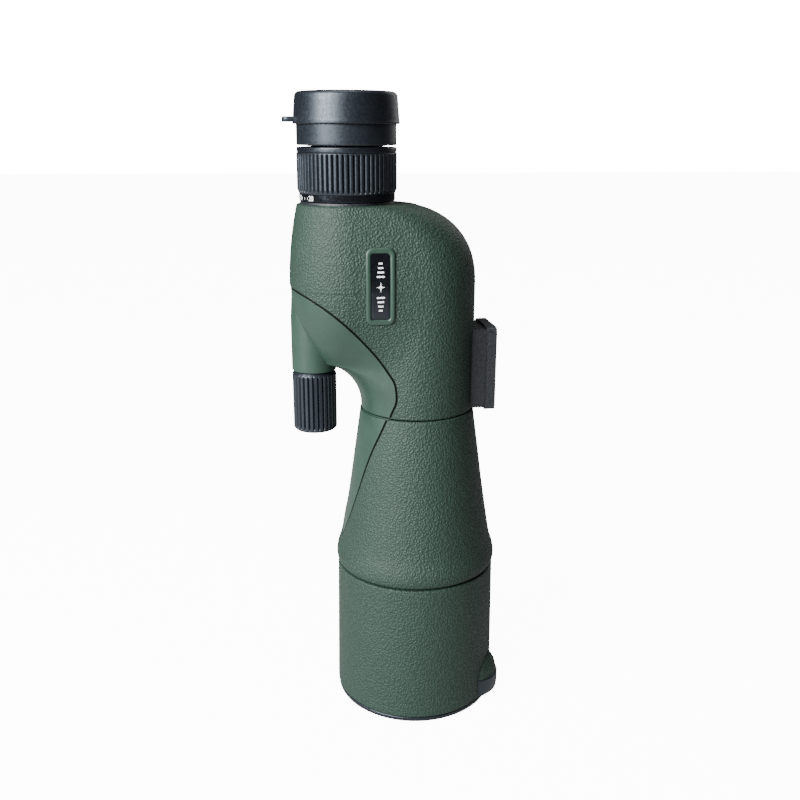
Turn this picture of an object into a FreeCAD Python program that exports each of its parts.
"""Straight zoom spotting scope with a focus knob, a sliding sunshade and a tripod foot.

Millimetres. The scope stands upright on its objective cap: +Z runs along the optical axis towards the
eye, the origin is on the objective axis at the bottom face, and +X points to the tripod foot. Two Porro
prisms shift the light from the objective axis to the eyepiece axis, which lies on the -X side.
"""
import FreeCAD, Part
import Sketcher
import math
import os
from types import SimpleNamespace

doc = FreeCAD.newDocument("SpottingScope")
Vector = FreeCAD.Vector
Rotation = FreeCAD.Rotation
Placement = FreeCAD.Placement

# ---------------------------------------------------------------- driving dimensions

DRIVING = {
    # sunshade and objective end
    "sunshade_radius": 40.0,
    "sunshade_rear_radius": 39.1,
    "sunshade_bore": 37.2,
    "sunshade_front": 2.5,
    "sunshade_rear": 71.2,
    "sunshade_lip": 3.7,
    "cap_flange_radius": 39.7,
    "cap_flange_height": 2.2,
    "cap_plug_depth": 8.8,
    "cap_wall": 1.9,
    # main barrel
    "barrel_front": 20.0,
    "barrel_front_radius": 36.4,
    "barrel_bore": 33.4,
    "shoulder_height": 72.2,
    "seam_height": 151.4,
    "armour_thickness": 1.2,
    "spigot_radius": 24.2,
    "spigot_height": 5.6,
    # objective
    "lens_radius": 31.6,
    "cell_front": 22.0,
    "cell_length": 16.0,
    "lens_curve": 180.0,
    # prism housing
    "housing_radius": 27.0,
    "housing_shoulder": 211.0,
    "shoulder_rise": 37.0,
    "side_curve": 164.0,
    "bowl_curve": 55.5,
    "arch_radius": 22.0,
    "arch_x": 49.1,
    "arch_level": 153.0,
    "underside": 173.2,
    "underside_radius": 12.0,
    "shell_wall": 2.0,
    "panel_recess": 0.35,
    # prisms
    "eyepiece_x": -32.3,
    "prism_half_width": 6.0,
    "prism_plate_level": 208.0,
    "prism_plate_thickness": 3.0,
    "carriage_level": 200.0,
    "carriage_thickness": 3.0,
    "carriage_radius": 21.2,
    "nut_radius": 3.6,
    "rod_radius": 1.5,
    # focus knob
    "knob_x": -49.0,
    "knob_radius": 10.35,
    "knob_bottom": 142.3,
    "knob_top": 171.2,
    "knob_rib_radius": 0.55,
    "shroud_radius": 10.4,
    "shroud_bottom": 171.5,
    "shroud_top": 199.0,
    "bush_length": 11.5,
    "seal_length": 2.0,
    "shaft_bore_top": 192.0,
    "shaft_radius": 3.0,
    "screw_radius": 2.5,
    "bush_radius": 4.5,
    # tripod foot
    "foot_length": 40.2,
    "foot_width": 26.0,
    "foot_bottom": 151.3,
    "foot_face": 35.9,
    "foot_plate_thickness": 4.7,
    "neck_inset": 1.2,
    "insert_radius": 4.2,
    "insert_length": 8.0,
    "tripod_thread_bore": 3.175,
    "foot_screw_spread": 28.0,
    # eyepiece
    "tube_radius": 15.0,
    "tube_bore": 13.2,
    "tube_bottom": 236.0,
    "tube_top": 284.0,
    "mount_radius": 21.2,
    "mount_level": 247.4,
    "mount_thickness": 1.7,
    "mount_spigot_radius": 17.0,
    "sleeve_radius": 16.9,
    "scale_radius": 21.5,
    "scale_bottom": 249.35,
    "ring_bottom": 252.5,
    "grip_radius": 22.3,
    "grip_core_radius": 21.0,
    "grip_top": 270.0,
    "ring_top": 272.3,
    "band_radius": 22.1,
    "guide_radius": 17.3,
    "eyecup_bottom": 273.0,
    "eyecup_radius": 22.1,
    "eyecup_top": 292.0,
    "cap_bottom": 281.9,
    "cap_top": 295.4,
    "cap_radius": 23.6,
    "cap_top_radius": 22.8,
    # fits
    "running_fit": 0.08,
    "bearing_fit": 0.05,
}

sheet = doc.addObject("Spreadsheet::Sheet", "dims")
for row, (alias, number) in enumerate(DRIVING.items(), start=1):
    sheet.set("A%d" % row, alias)
    sheet.set("B%d" % row, str(number))
    sheet.setAlias("B%d" % row, alias)
doc.recompute()


class Size:
    """A length that carries both its value and its spreadsheet formula."""

    def __init__(self, value, formula):
        self.value = value
        self.formula = formula

    def __add__(self, other):
        other = as_size(other)
        return Size(self.value + other.value, "(%s + %s)" % (self.formula, other.formula))

    def __radd__(self, other):
        return as_size(other) + self

    def __sub__(self, other):
        other = as_size(other)
        return Size(self.value - other.value, "(%s - %s)" % (self.formula, other.formula))

    def __rsub__(self, other):
        return as_size(other) - self

    def __mul__(self, other):
        other = as_size(other)
        return Size(self.value * other.value, "(%s * %s)" % (self.formula, other.formula))

    def __neg__(self):
        return 0 - self


def as_size(item):
    if isinstance(item, Size):
        return item
    return Size(float(item), "%.6f" % item)


def root(size):
    return Size(math.sqrt(size.value), "sqrt(%s)" % size.formula)


S = SimpleNamespace(**{alias: Size(number, "dims." + alias) for alias, number in DRIVING.items()})

# The light path: two equal prism displacements, each at 45 degrees, add up to the eyepiece offset.
HALF_OFFSET = S.eyepiece_x * 0.5
BEAM_SPACING = -S.eyepiece_x * math.sqrt(0.5)

# ---------------------------------------------------------------- construction helpers


def sag(curve, radius):
    """How far a spherical face of that curvature stands up at its middle."""
    curve, radius = as_size(curve), as_size(radius)
    return curve - root(curve * curve - radius * radius)


def edge_rise(curve, outer, inner):
    """How far a spherical face climbs between two radii."""
    return sag(curve, outer) - sag(curve, inner)


def bind(item, prop, size):
    """Set a property from a size and tie it to the sheet."""
    item.setExpression(prop, as_size(size).formula)


def place(item, x=0, y=0, z=0, rotation=None):
    x, y, z = as_size(x), as_size(y), as_size(z)
    item.Placement = Placement(Vector(x.value, y.value, z.value), rotation or Rotation())
    for axis, size in (("x", x), ("y", y), ("z", z)):
        if "dims" in size.formula:
            bind(item, "Placement.Base." + axis, size)


def cylinder(name, radius, height, x=0, y=0, z=0, rotation=None):
    item = doc.addObject("Part::Cylinder", name)
    bind(item, "Radius", radius)
    bind(item, "Height", height)
    place(item, x, y, z, rotation)
    return item


def box(name, length, width, height, x=0, y=0, z=0, rotation=None):
    item = doc.addObject("Part::Box", name)
    bind(item, "Length", length)
    bind(item, "Width", width)
    bind(item, "Height", height)
    place(item, x, y, z, rotation)
    return item


def cut(name, base, tool):
    item = doc.addObject("Part::Cut", name)
    item.Base = base
    item.Tool = tool
    return item


def fuse(name, pieces):
    item = doc.addObject("Part::MultiFuse", name)
    item.Shapes = pieces
    return item


def common(name, pieces):
    item = doc.addObject("Part::MultiCommon", name)
    item.Shapes = pieces
    return item


def group(name, pieces):
    """Several separate solids of one kind in one node."""
    item = doc.addObject("Part::Compound", name)
    item.Links = pieces
    return item


def plane_of(body, role):
    return next(feature for feature in body.Origin.OriginFeatures if feature.Role == role)


def new_sketch(body, role, name, level=None):
    sketch = body.newObject("Sketcher::SketchObject", name)
    sketch.AttachmentSupport = (plane_of(body, role), [""])
    sketch.MapMode = "FlatFace"
    if level is not None:
        level = as_size(level)
        sketch.AttachmentOffset = Placement(Vector(0, 0, level.value), Rotation())
        bind(sketch, "AttachmentOffset.Base.z", level)
    return sketch


def constrain(sketch, kind, geometry, end, axis_size, name):
    """Tie one end point to the sketch's origin along one axis."""
    size = as_size(axis_size)
    if size.value == 0:
        axis = -2 if kind == "DistanceX" else -1
        sketch.addConstraint(Sketcher.Constraint("PointOnObject", geometry, end, axis))
        return
    index = sketch.addConstraint(Sketcher.Constraint(kind, -1, 1, geometry, end, size.value))
    if "dims" in size.formula:
        sketch.renameConstraint(index, name)
        sketch.setExpression("Constraints." + name, size.formula)


def end_at(sketch, geometry, point):
    """Which end of a sketch edge, 1 or 2, lies at a point."""
    first = sketch.getPoint(geometry, 1)
    second = sketch.getPoint(geometry, 2)
    return 1 if (first - point).Length < (second - point).Length else 2


def arc_between(start, end, radius):
    """A circular arc; a positive radius bulges to the right of the way from start to end."""
    chord = end - start
    half = chord.Length * 0.5
    sagitta = abs(radius) - math.sqrt(radius * radius - half * half)
    side = Vector(chord.y, -chord.x, 0).normalize()
    middle = (start + end) * 0.5 + side * math.copysign(sagitta, radius)
    return Part.Arc(start, middle, end)


def draw(sketch, points, arcs=None):
    """A closed outline; arcs gives the radius of the edge that starts at each index it names."""
    arcs = arcs or {}
    corners = [Vector(as_size(x).value, as_size(y).value, 0) for x, y in points]
    edges = []
    for index, start in enumerate(corners):
        end = corners[(index + 1) % len(corners)]
        if index in arcs:
            edges.append(arc_between(start, end, as_size(arcs[index]).value))
        else:
            edges.append(Part.LineSegment(start, end))
    first = sketch.GeometryCount
    sketch.addGeometry(edges)
    for index, (x, y) in enumerate(points):
        edge = first + index
        before = first + (index - 1) % len(points)
        here = end_at(sketch, edge, corners[index])
        there = end_at(sketch, before, corners[index])
        sketch.addConstraint(Sketcher.Constraint("Coincident", edge, here, before, there))
        constrain(sketch, "DistanceX", edge, here, x, "across_%d" % edge)
        constrain(sketch, "DistanceY", edge, here, y, "along_%d" % edge)
        if index in arcs:
            radius = abs(as_size(arcs[index]).value)
            sketch.addConstraint(Sketcher.Constraint("Radius", edge, radius))


def turned(name, points, arcs=None, x=0, outlines=()):
    """A turned piece: an outline of (radius, height) points swept about an upright axis."""
    body = doc.addObject("PartDesign::Body", name)
    sketch = new_sketch(body, "XZ_Plane", name + "_outline")
    draw(sketch, points, arcs)
    for outline in outlines:
        draw(sketch, outline)
    turn = body.newObject("PartDesign::Revolution", name + "_turn")
    turn.Profile = sketch
    turn.ReferenceAxis = (sketch, ["V_Axis"])
    turn.Angle = 360
    body.Tip = turn
    place(body, x)
    return body


def ring(name, inner, outer, bottom, top, x=0):
    return turned(name, [(inner, bottom), (outer, bottom), (outer, top), (inner, top)], x=x)


def padded(name, role, points, length, level=0, arcs=None, midplane=False):
    """A flat outline padded along its plane's normal."""
    body = doc.addObject("PartDesign::Body", name)
    sketch = new_sketch(body, role, name + "_outline", level)
    draw(sketch, points, arcs)
    pad = body.newObject("PartDesign::Pad", name + "_pad")
    pad.Profile = sketch
    bind(pad, "Length", length)
    pad.Midplane = midplane
    body.Tip = pad
    return body


parts = {}


def keep(node, item):
    """Name the finished sub-part; the label is also its file name."""
    item.Label = node
    parts[node] = item
    return item


# ---------------------------------------------------------------- objective cap and sunshade


def make_objective_cap():
    plug_outer = S.sunshade_bore - S.running_fit
    plug_inner = plug_outer - S.cap_wall
    floor = S.cap_flange_height
    rim = floor + S.cap_plug_depth
    edge = 0.5
    keep("objective_cap", turned("CapFront", [
        (0, 0),
        (S.cap_flange_radius - edge, 0),
        (S.cap_flange_radius, edge),
        (S.cap_flange_radius, floor),
        (plug_outer, floor),
        (plug_outer, rim),
        (plug_inner, rim),
        (plug_inner, floor),
        (0, floor),
    ]))


def make_sunshade():
    lip_bore = S.barrel_front_radius + S.running_fit
    lip = S.sunshade_rear - S.sunshade_lip
    keep("sunshade_tube", turned("Sunshade", [
        (S.sunshade_bore, S.sunshade_front),
        (S.sunshade_radius, S.sunshade_front),
        (S.sunshade_rear_radius, S.sunshade_rear),
        (lip_bore, S.sunshade_rear),
        (lip_bore, lip),
        (S.sunshade_bore, lip),
    ]))


SIGHT_ANGLE = -28.0
SIGHT_HEIGHT = 8.0
SIGHT_HALF_LENGTH = 15.0
SIGHT_HALF_WIDTH = 11.2
SIGHT_HALF_DEPTH = 5.0
SIGHT_RING_DEPTH = 1.0
SIGHT_SPLIT = 12.2
SIGHT_SPLIT_TILT = 2.0


def sight_hump(name):
    """The egg-shaped swelling on the sunshade, hollowed to sit on the tube and cut flat at its front."""
    egg = doc.addObject("Part::Ellipsoid", name + "_egg")
    egg.Radius1 = SIGHT_HALF_LENGTH
    egg.Radius2 = SIGHT_HALF_DEPTH
    egg.Radius3 = SIGHT_HALF_WIDTH
    turn = Rotation(Vector(0, 0, 1), SIGHT_ANGLE)
    seat = turn.multVec(Vector(DRIVING["sunshade_radius"] - SIGHT_RING_DEPTH, 0, SIGHT_HEIGHT))
    egg.Placement = Placement(seat, turn)
    tube = doc.addObject("Part::Cone", name + "_seat")
    bind(tube, "Radius1", S.sunshade_radius)
    bind(tube, "Radius2", S.sunshade_rear_radius)
    bind(tube, "Height", S.sunshade_rear - S.sunshade_front)
    place(tube, z=S.sunshade_front)
    flange = cylinder(name + "_flange", S.sunshade_radius, 4, z=-1.5)
    floor = box(name + "_floor", 120, 120, 20, -60, -60, -19.4)
    return cut(name + "_hump", egg, fuse(name + "_tools", [tube, flange, floor]))


def sight_front(name):
    """A block that covers the front of the sight, with a slanting upper face."""
    tilt = Rotation(Vector(0, 0, 1), SIGHT_ANGLE).multiply(Rotation(Vector(0, 1, 0), -SIGHT_SPLIT_TILT))
    slab = box(name + "_slab", 40, 60, 20, rotation=tilt)
    corner = tilt.multVec(Vector(-20, -30, -20))
    middle = Rotation(Vector(0, 0, 1), SIGHT_ANGLE).multVec(Vector(42, 0, SIGHT_SPLIT))
    slab.Placement = Placement(middle + corner, tilt)
    return slab


def make_sight():
    keep("sight_body", cut("SightBody", sight_hump("SightRear"), sight_front("SightRear")))
    keep("sight_insert", common("SightInsert", [sight_hump("SightNose"), sight_front("SightNose")]))


# ---------------------------------------------------------------- main barrel and objective

# Outer outline of the armoured cone as (radius, height), from the shoulder to the upper seam.
CONE = [(39.1, 72.2), (39.7, 75.5), (37.7, 83.6), (37.0, 87.0), (35.5, 96.0), (32.9, 112.5), (27.5, 151.4)]
BORE = [(33.4, 84.0), (32.0, 96.0), (29.3, 112.5), (22.6, 150.0)]


def make_barrel():
    top = S.seam_height + S.spigot_height
    outer = [(radius - S.armour_thickness, height) for radius, height in CONE]
    keep("barrel_tube", turned("Barrel", [
        (S.barrel_bore, S.barrel_front),
        (S.barrel_front_radius, S.barrel_front),
        (S.barrel_front_radius, S.shoulder_height),
        *outer,
        (S.spigot_radius, S.seam_height),
        (S.spigot_radius, top),
        (BORE[-1][0], top),
        *reversed(BORE),
    ]))
    keep("barrel_armour", turned("BarrelArmour", CONE + list(reversed(outer))))


def bore_radius(height):
    """Radius of the barrel's tapered bore at a height."""
    for (lower_radius, lower), (upper_radius, upper) in zip(BORE, BORE[1:]):
        if lower <= height <= upper:
            share = (height - lower) / (upper - lower)
            return lower_radius + share * (upper_radius - lower_radius)
    return BORE[0][0]


def make_baffles():
    rings = []
    for level, opening in ((90.0, 26.5), (106.0, 23.5), (124.0, 19.5)):
        thickness = 1.2
        rings.append(turned("Baffle%d" % len(rings), [
            (opening, level),
            (bore_radius(level), level),
            (bore_radius(level + thickness), level + thickness),
            (opening, level + thickness),
        ]))
    keep("barrel_baffles", group("Baffles", rings))


def make_guide_ring():
    keep("sunshade_guide_ring", ring("GuideRing", S.barrel_front_radius, S.sunshade_bore - S.running_fit,
                                     S.barrel_front + 1, S.barrel_front + 5))


def make_objective():
    front = S.cell_front
    rear = front + S.cell_length
    seat = rear - 1.8
    lip_radius = S.lens_radius - 1.4
    keep("objective_cell", turned("Cell", [
        (S.lens_radius, front),
        (S.barrel_bore, front),
        (S.barrel_bore, rear),
        (lip_radius, rear),
        (lip_radius, seat),
        (S.lens_radius, seat),
    ]))
    crown_front = front + 2.0
    crown_rear = crown_front + 4.0
    flint_front = crown_rear + 0.6
    bulge = sag(S.lens_curve, S.lens_radius)
    keep("objective_retaining_ring", turned("Retainer", [
        (lip_radius, front),
        (S.lens_radius, front),
        (S.lens_radius, crown_front),
        (lip_radius, crown_front - edge_rise(S.lens_curve, S.lens_radius, lip_radius)),
    ]))
    keep("objective_crown_lens", turned("Crown", [
        (0, crown_front - bulge),
        (S.lens_radius, crown_front),
        (S.lens_radius, crown_rear),
        (0, crown_rear + bulge),
    ], {0: S.lens_curve, 2: S.lens_curve}))
    spacer_bore = S.lens_radius - 0.9
    spacer_rise = edge_rise(S.lens_curve, S.lens_radius, spacer_bore)
    keep("objective_lens_spacer", turned("Spacer", [
        (spacer_bore, crown_rear + spacer_rise),
        (S.lens_radius, crown_rear),
        (S.lens_radius, flint_front),
        (spacer_bore, flint_front + spacer_rise),
    ]))
    keep("objective_flint_lens", turned("Flint", [
        (0, flint_front + bulge),
        (S.lens_radius, flint_front),
        (S.lens_radius, seat),
        (0, seat),
    ], {0: -S.lens_curve}))


# ---------------------------------------------------------------- prism housing

BOWL_HEIGHTS = [178.0, 184.0, 190.0, 197.0, 204.0]
DOME_POWER = 2.35
DOME_STEPS = [0.0, 0.25, 0.45, 0.62, 0.76, 0.87, 0.94, 0.98378]


def hull_outline(sketch, left_x, left_radius, right_x, right_radius):
    """Two circles on the X axis joined by their outer tangents."""
    left_x, left_radius = as_size(left_x), as_size(left_radius)
    right_x, right_radius = as_size(right_x), as_size(right_radius)
    lean = math.asin((right_radius.value - left_radius.value) / (right_x.value - left_x.value))

    def tangent_point(centre, radius, side):
        return Vector(centre.value - radius.value * math.sin(lean), side * radius.value * math.cos(lean), 0)

    ends = [tangent_point(left_x, left_radius, -1), tangent_point(right_x, right_radius, -1),
            tangent_point(right_x, right_radius, 1), tangent_point(left_x, left_radius, 1)]
    right_top = Vector(right_x.value + right_radius.value, 0, 0)
    left_top = Vector(left_x.value - left_radius.value, 0, 0)
    sketch.addGeometry([Part.LineSegment(ends[0], ends[1]), Part.Arc(ends[1], right_top, ends[2]),
                        Part.LineSegment(ends[2], ends[3]), Part.Arc(ends[3], left_top, ends[0])])
    for edge, point in enumerate(ends):
        before = (edge - 1) % len(ends)
        sketch.addConstraint(Sketcher.Constraint(
            "Tangent", before, end_at(sketch, before, point), edge, end_at(sketch, edge, point)))
    for edge, centre, radius in ((1, right_x, right_radius), (3, left_x, left_radius)):
        sketch.addConstraint(Sketcher.Constraint("PointOnObject", edge, 3, -1))
        constrain(sketch, "DistanceX", edge, 3, centre, "centre_%d" % edge)
        index = sketch.addConstraint(Sketcher.Constraint("Radius", edge, radius.value))
        sketch.renameConstraint(index, "radius_%d" % edge)
        sketch.setExpression("Constraints.radius_%d" % edge, radius.formula)


def housing_sections(inset):
    """Height, left centre, left radius, right centre and right radius of each section above the arch."""
    full = S.housing_radius - inset
    rows = [(S.underside + inset, S.eyepiece_x, S.underside_radius - inset, 0, full)]
    for height in BOWL_HEIGHTS:
        drop = S.housing_shoulder - height
        bowl = root(S.bowl_curve * S.bowl_curve - drop * drop) - S.bowl_curve + full
        rows.append((as_size(height), S.eyepiece_x, bowl, 0, full))
    for step in DOME_STEPS:
        rise = (S.shoulder_rise - inset) * step
        radius = full - S.side_curve + root(S.side_curve * S.side_curve - rise * rise)
        reach = S.housing_radius - S.shoulder_rise + 0.5
        right = reach + (full - reach) * math.sqrt(1 - step ** DOME_POWER)
        rows.append((S.housing_shoulder + rise, S.eyepiece_x, radius, right - radius, radius))
    return rows


def housing_block(name, inset):
    """The housing's outer form, offset inwards by an inset.

    A round column carries a lofted head. The web between them is arched over the focus knob.
    """
    inset = as_size(inset)
    body = doc.addObject("PartDesign::Body", name)
    sketches = []
    for height, left_x, left_radius, right_x, right_radius in housing_sections(inset):
        sketch = new_sketch(body, "XY_Plane", "%s_section%d" % (name, len(sketches)), height)
        hull_outline(sketch, left_x, left_radius, right_x, right_radius)
        sketches.append(sketch)

    web = body.newObject("PartDesign::Pad", name + "_web")
    web.Profile = sketches[0]
    web.Reversed = True
    bind(web, "Length", S.underside + inset - S.arch_level)

    arch_sketch = new_sketch(body, "XZ_Plane", name + "_arch_outline")
    arch_radius = S.arch_radius + inset
    arch_sketch.addGeometry(Part.Circle(Vector(-S.arch_x.value, S.arch_level.value, 0), Vector(0, 0, 1),
                                        arch_radius.value))
    constrain(arch_sketch, "DistanceX", 0, 3, -S.arch_x, "arch_across")
    constrain(arch_sketch, "DistanceY", 0, 3, S.arch_level, "arch_level")
    index = arch_sketch.addConstraint(Sketcher.Constraint("Radius", 0, arch_radius.value))
    arch_sketch.renameConstraint(index, "arch_radius")
    arch_sketch.setExpression("Constraints.arch_radius", arch_radius.formula)
    arch = body.newObject("PartDesign::Pocket", name + "_arch")
    arch.Profile = arch_sketch
    arch.Midplane = True
    arch.Length = 100

    head = body.newObject("PartDesign::AdditiveLoft", name + "_head")
    head.Profile = sketches[0]
    head.Sections = sketches[1:]
    head.Ruled = True

    column_sketch = new_sketch(body, "XY_Plane", name + "_column_outline", S.seam_height)
    column_radius = S.housing_radius - inset
    column_sketch.addGeometry(Part.Circle(Vector(0, 0, 0), Vector(0, 0, 1), column_radius.value))
    column_sketch.addConstraint(Sketcher.Constraint("Coincident", 0, 3, -1, 1))
    index = column_sketch.addConstraint(Sketcher.Constraint("Radius", 0, column_radius.value))
    column_sketch.renameConstraint(index, "column_radius")
    column_sketch.setExpression("Constraints.column_radius", column_radius.formula)
    column = body.newObject("PartDesign::Pad", name + "_column")
    column.Profile = column_sketch
    bind(column, "Length", S.housing_shoulder - S.seam_height)
    body.Tip = column
    return body


# Edge of the smooth side panel, seen from the side: (x, height).
PANEL_OUTLINE = [(-64, 214), (-53.3, 210), (-40.3, 200.6), (-27, 187.1), (-17.9, 175.4),
                 (-13.4, 166), (-13.4, 160), (-16, 150), (-64, 150)]


def panel_prism(name):
    return padded(name, "XZ_Plane", PANEL_OUTLINE, 80, midplane=True)


def foot_screw_pegs(name, radius, start, length):
    middle = S.foot_bottom + S.foot_length * 0.5
    along_x = Rotation(Vector(0, 1, 0), 90)
    return [cylinder("%s%d" % (name, side), radius, length, start, 0,
                     middle + S.foot_screw_spread * (0.5 * side), along_x) for side in (-1, 1)]


def make_housing():
    armour = S.armour_thickness
    inner = armour + S.shell_wall
    shroud = cylinder("Shroud", S.shroud_radius, S.shroud_top - S.shroud_bottom, S.knob_x,
                      z=S.shroud_bottom)
    eyepiece_hole = cylinder("EyepieceHole", S.mount_spigot_radius, 20, S.eyepiece_x, 0, S.mount_level - 10)
    spigot_hole = cylinder("SpigotHole", S.spigot_radius, S.spigot_height, z=S.seam_height)
    bush_hole = cylinder("BushHole", S.bush_radius, S.shaft_bore_top - S.shroud_bottom + 1, S.knob_x, 0,
                         S.shroud_bottom - 1)
    screw_holes = foot_screw_pegs("ScrewHole", 1.5, S.housing_radius - 6, 8)
    solid = fuse("ShellSolid", [housing_block("ShellOuter", armour), shroud])
    cavity = housing_block("Cavity", inner)
    hollows = fuse("ShellHollows", [cavity, eyepiece_hole, spigot_hole, bush_hole, *screw_holes])
    keep("housing_shell", cut("Shell", solid, hollows))

    skin = cut("ArmourSkin", housing_block("ArmourOuter", 0), housing_block("ArmourInner", armour))
    top_hole = cylinder("ArmourHole", S.mount_spigot_radius, 20, S.eyepiece_x, 0, S.mount_level - 10)
    screw_gaps = foot_screw_pegs("ArmourScrewHole", 1.5, S.housing_radius - 6, 8)
    trimmed = cut("ArmourTrimmed", skin, fuse("ArmourHoles", [top_hole, *screw_gaps]))
    keep("housing_armour", cut("Armour", trimmed, panel_prism("ArmourPanel")))

    cover = common("PanelCover", [housing_block("PanelOuter", S.panel_recess), panel_prism("PanelArea")])
    shroud_gap = cylinder("PanelShroud", S.shroud_radius, S.shroud_top - S.shroud_bottom + 1, S.knob_x, 0,
                          S.shroud_bottom - 1)
    keep("side_panel", cut("Panel", cover, fuse("PanelTools", [housing_block("PanelInner", armour),
                                                               shroud_gap])))


BADGE_X = -20.6
BADGE_HEIGHT = 213.9


def rounded_window(name, width, height, corner, depth):
    """An upright rounded rectangle through the near wall of the housing."""
    half_width, half_height = width * 0.5, height * 0.5
    left, right = BADGE_X - half_width, BADGE_X + half_width
    low, high = BADGE_HEIGHT - half_height, BADGE_HEIGHT + half_height
    points = [(left + corner, low), (right - corner, low), (right, low + corner), (right, high - corner),
              (right - corner, high), (left + corner, high), (left, high - corner), (left, low + corner)]
    body = padded(name, "XZ_Plane", points, depth, 0, {1: corner, 3: corner, 5: corner, 7: corner})
    return body


def make_badge():
    window = rounded_window("BadgeWindow", 8.1, 28.8, 1.2, 40)
    rim = rounded_window("BadgeOutline", 13.0, 34.2, 3.0, 40)
    frame_area = cut("BadgeFrameArea", rim, window)
    frame = common("BadgeFrameBlank", [housing_block("BadgeRaised", -0.7), frame_area])
    keep("badge_frame", cut("BadgeFrame", frame, housing_block("BadgeSeat", 0)))
    window_plate = rounded_window("BadgePlateArea", 8.1, 28.8, 1.2, 40)
    plate = common("BadgePlateBlank", [housing_block("BadgePlateRaised", -0.25), window_plate])
    keep("badge_plate", cut("BadgePlate", plate, housing_block("BadgePlateSeat", 0)))


# ---------------------------------------------------------------- tripod foot


def make_foot():
    half = S.foot_width * 0.5
    neck_half = half - S.neck_inset
    plate_back = S.foot_face - S.foot_plate_thickness
    corner = 2.5
    middle = S.foot_bottom + S.foot_length * 0.5
    along_x = Rotation(Vector(0, 1, 0), 90)

    def bores(name):
        socket = cylinder(name + "Socket", S.insert_radius, S.insert_length, S.foot_face - S.insert_length,
                          0, middle, along_x)
        return fuse(name + "Bores", [socket, *foot_screw_pegs(name + "Hole", 1.5, S.housing_radius - 2, 12),
                                     *foot_screw_pegs(name + "Sink", 2.9, S.foot_face - 1.8, 4)])

    neck = box("NeckBlank", plate_back - 18, neck_half * 2, S.foot_length - S.neck_inset * 2,
               18, -neck_half, S.foot_bottom + S.neck_inset)
    seat = cylinder("NeckSeat", S.housing_radius, 60, z=S.foot_bottom - 10)
    keep("foot_neck", cut("FootNeck", neck, fuse("NeckTools", [seat, bores("Neck")])))

    top = S.foot_bottom + S.foot_length
    outline = [(-half + corner, S.foot_bottom), (half - corner, S.foot_bottom),
               (half, S.foot_bottom + corner), (half, top - corner), (half - corner, top),
               (-half + corner, top), (-half, top - corner), (-half, S.foot_bottom + corner)]
    plate = padded("FootPlateBlank", "YZ_Plane", outline, S.foot_plate_thickness, plate_back,
                   {1: corner, 3: corner, 5: corner, 7: corner})
    keep("foot_plate", cut("FootPlate", plate, bores("Plate")))

    bush = cylinder("InsertBlank", S.insert_radius, S.insert_length, S.foot_face - S.insert_length, 0,
                    middle, along_x)
    thread = cylinder("InsertThread", S.tripod_thread_bore, S.insert_length - 1,
                      S.foot_face - S.insert_length + 1, 0, middle, along_x)
    keep("foot_thread_insert", cut("FootInsert", bush, thread))

    screws = []
    shanks = foot_screw_pegs("Shank", 1.5, S.housing_radius - 2.6, S.foot_face - S.housing_radius + 0.8)
    heads = foot_screw_pegs("Head", 2.9, S.foot_face - 1.8, 1.8)
    for index, (shank, head) in enumerate(zip(shanks, heads)):
        screws.append(fuse("FootScrew%d" % index, [shank, head]))
    keep("foot_screws", group("FootScrews", screws))


# ---------------------------------------------------------------- focus knob and its screw

KNOB_RIBS = 28


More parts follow.
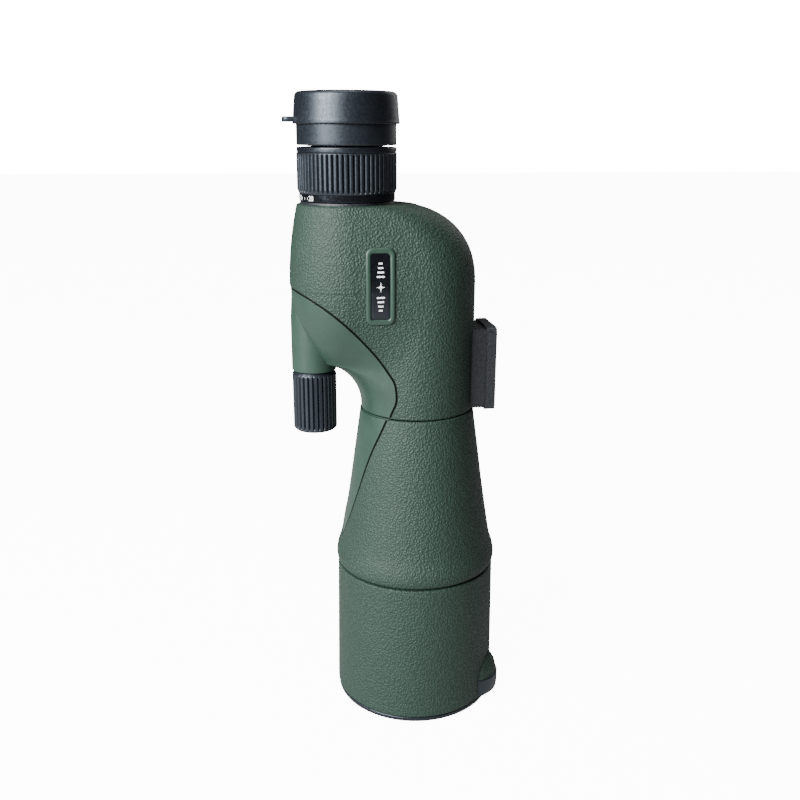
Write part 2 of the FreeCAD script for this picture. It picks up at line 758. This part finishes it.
def make_focus_drive():
    axis = S.knob_x
    counterbore = S.knob_bottom + 3.2
    knob = turned("Knob", [
        (3.4, S.knob_bottom),
        (S.knob_radius - 1.6, S.knob_bottom),
        (S.knob_radius, S.knob_bottom + 1.6),
        (S.knob_radius, S.knob_top),
        (S.shaft_radius, S.knob_top),
        (S.shaft_radius, counterbore),
        (3.4, counterbore),
    ], {1: 1.6}, x=axis)
    groove_sketch = new_sketch(knob, "XY_Plane", "KnobGrooveOutline", S.knob_bottom)
    groove_sketch.addGeometry(Part.Circle(Vector(DRIVING["knob_radius"] + 0.15, 0, 0), Vector(0, 0, 1),
                                          DRIVING["knob_rib_radius"]))
    constrain(groove_sketch, "DistanceX", 0, 3, S.knob_radius + 0.15, "groove_centre")
    groove_sketch.addConstraint(Sketcher.Constraint("PointOnObject", 0, 3, -1))
    groove_sketch.addConstraint(Sketcher.Constraint("Radius", 0, DRIVING["knob_rib_radius"]))
    groove = knob.newObject("PartDesign::Pocket", "KnobGroove")
    groove.Profile = groove_sketch
    groove.Reversed = True
    bind(groove, "Length", S.knob_top - S.knob_bottom + 1)
    ribs = knob.newObject("PartDesign::PolarPattern", "KnobRibs")
    ribs.Originals = [groove]
    ribs.Axis = (plane_of(knob, "Z_Axis"), [""])
    ribs.Angle = 360
    ribs.Occurrences = KNOB_RIBS
    knob.Tip = ribs
    keep("focus_knob", knob)

    shank_radius = 1.25
    shank_top = counterbore + 9
    keep("knob_screw", turned("KnobScrew", [
        (0, counterbore - 2.2),
        (2.8, counterbore - 2.2),
        (2.8, counterbore),
        (shank_radius, counterbore),
        (shank_radius, shank_top),
        (0, shank_top),
    ], x=axis))
    bush_top = S.shroud_bottom + S.bush_length
    seal_top = bush_top + S.seal_length
    bore = S.shaft_radius + S.bearing_fit
    keep("focus_shaft", turned("Shaft", [
        (shank_radius, counterbore),
        (S.shaft_radius, counterbore),
        (S.shaft_radius, seal_top + 2),
        (S.screw_radius, seal_top + 2),
        (S.screw_radius, S.prism_plate_level - 0.5),
        (0, S.prism_plate_level - 0.5),
        (0, shank_top),
        (shank_radius, shank_top),
    ], x=axis))
    keep("focus_bush", ring("Bush", bore, S.bush_radius, S.shroud_bottom, bush_top, x=axis))
    keep("focus_seal", ring("Seal", bore, S.bush_radius, bush_top, seal_top, x=axis))
    keep("shaft_clip", ring("Clip", S.shaft_radius, S.bush_radius - 0.35, seal_top + 0.3, seal_top + 1.2,
                            x=axis))
    nut_bottom = S.carriage_level - 1
    keep("focus_nut", ring("Nut", S.screw_radius + S.bearing_fit, S.nut_radius, nut_bottom,
                           nut_bottom + S.carriage_thickness + 2, x=axis))


# ---------------------------------------------------------------- prisms

ROD_PLACES = [(-43.0, 13.0), (-20.0, 16.0)]


def prism(name, face_level, centre_x, centre_y, heading, upwards):
    """A Porro prism with rounded ends: its long face lies at face_level and its roof points away."""
    half = BEAM_SPACING * 0.5 + S.prism_half_width
    flat = 1.2
    rise = half - flat
    sign = 1 if upwards else -1
    roof_outline = [(-half, 0), (half, 0), (flat, rise * sign), (-flat, rise * sign)]
    roof = padded(name + "Roof", "XZ_Plane", roof_outline,
                  S.prism_half_width * 2, midplane=True)
    ends = []
    for side in (-1, 1):
        ends.append(cylinder("%sEnd%d" % (name, side), S.prism_half_width, half * 2,
                             BEAM_SPACING * (0.5 * side), 0, -half))
    slab = box(name + "Slab", BEAM_SPACING, S.prism_half_width * 2, half * 2,
               BEAM_SPACING * -0.5, -S.prism_half_width, -half)
    piece = common(name, [roof, fuse(name + "Form", [slab, *ends])])
    place(piece, centre_x, centre_y, face_level, Rotation(Vector(0, 0, 1), heading))
    return piece


def make_prisms():
    plate_top = S.prism_plate_level + S.prism_plate_thickness
    inner = S.armour_thickness + S.shell_wall
    slab = box("PlateSlab", 120, 80, S.prism_plate_thickness, -80, -40, S.prism_plate_level)
    blank = common("PlateBlank", [housing_block("PlateForm", inner), slab])
    beam = S.prism_half_width
    beam_places = [(0, 0), (HALF_OFFSET, HALF_OFFSET), (S.eyepiece_x, 0)]
    holes = [cylinder("PlateHole%d" % index, beam, 10, x, y, S.prism_plate_level - 3)
             for index, (x, y) in enumerate(beam_places)]
    holes += [cylinder("PlateRod%d" % index, S.rod_radius, 10, x, y, S.prism_plate_level - 3)
              for index, (x, y) in enumerate(ROD_PLACES)]
    keep("prism_plate", cut("PrismPlate", blank, fuse("PlateHoles", holes)))
    keep("upper_prism", prism("UpperPrism", plate_top, HALF_OFFSET * 0.5, HALF_OFFSET * 0.5, 45, True))
    keep("guide_rods", group("Rods", [
        cylinder("Rod%d" % index, S.rod_radius, S.prism_plate_thickness + 15, x, y, S.prism_plate_level - 15)
        for index, (x, y) in enumerate(ROD_PLACES)]))

    carriage_disc = cylinder("CarriageDisc", S.carriage_radius, S.carriage_thickness, S.eyepiece_x, 0,
                             S.carriage_level)
    carriage_ear = cylinder("CarriageEar", beam, S.carriage_thickness, HALF_OFFSET, HALF_OFFSET,
                            S.carriage_level)
    passes = [cylinder("CarriageHole%d" % index, beam - 0.8, 10, x, y, S.carriage_level - 3)
              for index, (x, y) in enumerate(beam_places[1:])]
    rod_hole = S.rod_radius + S.bearing_fit
    passes += [cylinder("CarriageRod%d" % index, rod_hole, 10, x, y, S.carriage_level - 3)
               for index, (x, y) in enumerate(ROD_PLACES)]
    passes.append(cylinder("CarriageNut", S.nut_radius, 10, S.knob_x, 0, S.carriage_level - 3))
    keep("prism_carriage", cut("Carriage", fuse("CarriageBlank", [carriage_disc, carriage_ear]),
                               fuse("CarriageHoles", passes)))
    keep("lower_prism", prism("LowerPrism", S.carriage_level, HALF_OFFSET * 1.5, HALF_OFFSET * 0.5, -45,
                              False))


# ---------------------------------------------------------------- zoom eyepiece


FIELD_LENS_CURVE = 50.0
ZOOM_LENS_CURVE = 34.0
EYE_LENS_CURVE = 60.0


def make_eyepiece():
    axis = S.eyepiece_x
    mount_top = S.mount_level + S.mount_thickness
    keep("eyepiece_mount", turned("Mount", [
        (S.tube_radius, S.mount_level - 4.4),
        (S.mount_spigot_radius, S.mount_level - 4.4),
        (S.mount_spigot_radius, S.mount_level),
        (S.mount_radius, S.mount_level),
        (S.mount_radius, mount_top),
        (S.tube_radius, mount_top),
    ], x=axis))
    keep("eyepiece_barrel", ring("EyeTube", S.tube_bore, S.tube_radius, S.tube_bottom, S.tube_top, x=axis))
    keep("field_lens", turned("FieldLens", [
        (0, S.tube_bottom + 2.4 - sag(FIELD_LENS_CURVE, S.tube_bore)),
        (S.tube_bore, S.tube_bottom + 2.4),
        (S.tube_bore, S.tube_bottom + 4.4),
        (0, S.tube_bottom + 4.4),
    ], {0: FIELD_LENS_CURVE}, x=axis))
    keep("field_stop", ring("FieldStop", 9, S.tube_bore, 243.5, 244.7, x=axis))

    slide_radius = S.tube_bore - S.running_fit
    for node, name, bottom in (("zoom_front", "ZoomFront", 247.5), ("zoom_rear", "ZoomRear", 264.5)):
        keep(node + "_cell", turned(name + "Cell", [
            (9.2, bottom),
            (slide_radius, bottom),
            (slide_radius, bottom + 5),
            (10.2, bottom + 5),
            (10.2, bottom + 0.8),
            (9.2, bottom + 0.8),
        ], x=axis))
        keep(node + "_lens", turned(name + "Lens", [
            (0, bottom + 0.8),
            (10.2, bottom + 0.8),
            (10.2, bottom + 2.6),
            (0, bottom + 2.6 + sag(ZOOM_LENS_CURVE, 10.2)),
        ], {2: ZOOM_LENS_CURVE}, x=axis))

    sleeve_bore = S.tube_radius + S.running_fit
    keep("zoom_cam_sleeve", ring("CamSleeve", sleeve_bore, S.sleeve_radius, S.scale_bottom,
                                 S.ring_top - 0.8, x=axis))
    keep("scale_ring", turned("ScaleRing", [
        (S.sleeve_radius, S.scale_bottom),
        (S.scale_radius - 0.4, S.scale_bottom),
        (S.scale_radius, S.scale_bottom + 0.4),
        (S.scale_radius, S.ring_bottom),
        (S.sleeve_radius, S.ring_bottom),
    ], x=axis))
    keep("zoom_ring", turned("ZoomRing", [
        (S.sleeve_radius, S.ring_bottom),
        (S.grip_core_radius, S.ring_bottom),
        (S.grip_core_radius, S.grip_top),
        (S.band_radius, S.grip_top),
        (S.band_radius, S.ring_top),
        (S.sleeve_radius, S.ring_top),
    ], x=axis))
    keep("zoom_grip", turned("ZoomGrip", [
        (S.grip_core_radius, S.ring_bottom),
        (S.scale_radius, S.ring_bottom),
        (S.grip_radius, S.ring_bottom + 1.8),
        (S.grip_radius, S.grip_top),
        (S.grip_core_radius, S.grip_top),
    ], x=axis))
    keep("eyecup_guide", ring("EyecupGuide", S.tube_radius, S.guide_radius, S.ring_top + 0.35,
                              S.tube_top + 1.5, x=axis))
    lens_bottom = S.tube_top - 7
    keep("eye_lens", turned("EyeLens", [
        (0, lens_bottom - sag(EYE_LENS_CURVE, S.tube_bore)),
        (S.tube_bore, lens_bottom),
        (S.tube_bore, lens_bottom + 3.4),
        (0, lens_bottom + 3.4 + sag(EYE_LENS_CURVE, S.tube_bore)),
    ], {0: EYE_LENS_CURVE, 2: EYE_LENS_CURVE}, x=axis))
    retainer_bore = S.tube_bore - 1.4
    keep("eye_lens_retainer", turned("EyeRetainer", [
        (retainer_bore, lens_bottom + 3.4 + edge_rise(EYE_LENS_CURVE, S.tube_bore, retainer_bore)),
        (S.tube_bore, lens_bottom + 3.4),
        (S.tube_bore, S.tube_top - 1),
        (retainer_bore, S.tube_top - 1),
    ], x=axis))


def make_eyecup():
    axis = S.eyepiece_x
    sleeve_bore = S.guide_radius + S.running_fit
    sleeve_outer = S.eyecup_radius - 1.7
    shelf = S.eyecup_top - 4
    keep("eyecup_sleeve", ring("EyecupSleeve", sleeve_bore, sleeve_outer, S.eyecup_bottom, shelf, x=axis))
    keep("eyecup_rubber", turned("EyecupRubber", [
        (sleeve_outer, S.eyecup_bottom),
        (S.eyecup_radius, S.eyecup_bottom),
        (S.eyecup_radius, S.eyecup_top - 5),
        (S.eyecup_radius - 1.6, S.eyecup_top),
        (S.eyecup_radius - 4.0, S.eyecup_top),
        (S.eyecup_radius - 4.0, shelf),
        (sleeve_outer, shelf),
    ], x=axis))


def make_eyepiece_cap():
    axis = S.eyepiece_x
    bore = S.eyecup_radius + S.running_fit
    dome = 4.1
    shoulder = S.cap_top - dome
    cap = turned("CapCup", [
        (bore, S.cap_bottom),
        (S.cap_radius, S.cap_bottom),
        (S.cap_top_radius, shoulder),
        (S.cap_top_radius - dome, S.cap_top),
        (0, S.cap_top),
        (0, S.cap_top - 2.6),
        (S.cap_top_radius - 2.4, S.cap_top - 2.6),
        (bore, S.eyecup_top - 4.6),
    ], {2: dome}, x=axis)
    tab_blank = box("TabBlank", 8, 8, 2.3, -60.5, -4, 282.7)
    tab_clear = cylinder("TabClear", S.cap_radius - 0.6, 10, S.eyepiece_x, 0, 280)
    tab = cut("Tab", tab_blank, tab_clear)
    keep("eyepiece_cap", fuse("EyepieceCap", [cap, tab]))


# ---------------------------------------------------------------- build, check and write

make_objective_cap()
make_sunshade()
make_sight()
make_barrel()
make_baffles()
make_guide_ring()
make_objective()
make_housing()
make_badge()
make_foot()
make_focus_drive()
make_prisms()
make_eyepiece()
make_eyecup()
make_eyepiece_cap()
doc.recompute()

failed = [item.Name for item in doc.Objects if "Invalid" in item.State or "Error" in item.State]
if failed:
    raise RuntimeError("features that did not build: " + ", ".join(failed))
for node, item in parts.items():
    shape = item.Shape
    if shape.isNull() or not shape.isValid() or not shape.Solids:
        raise RuntimeError("sub-part without a sound solid: " + node)

os.makedirs("parts", exist_ok=True)
for node, item in parts.items():
    item.Shape.exportStep("parts/%s.step" % node)
print("%d sub-parts written" % len(parts))
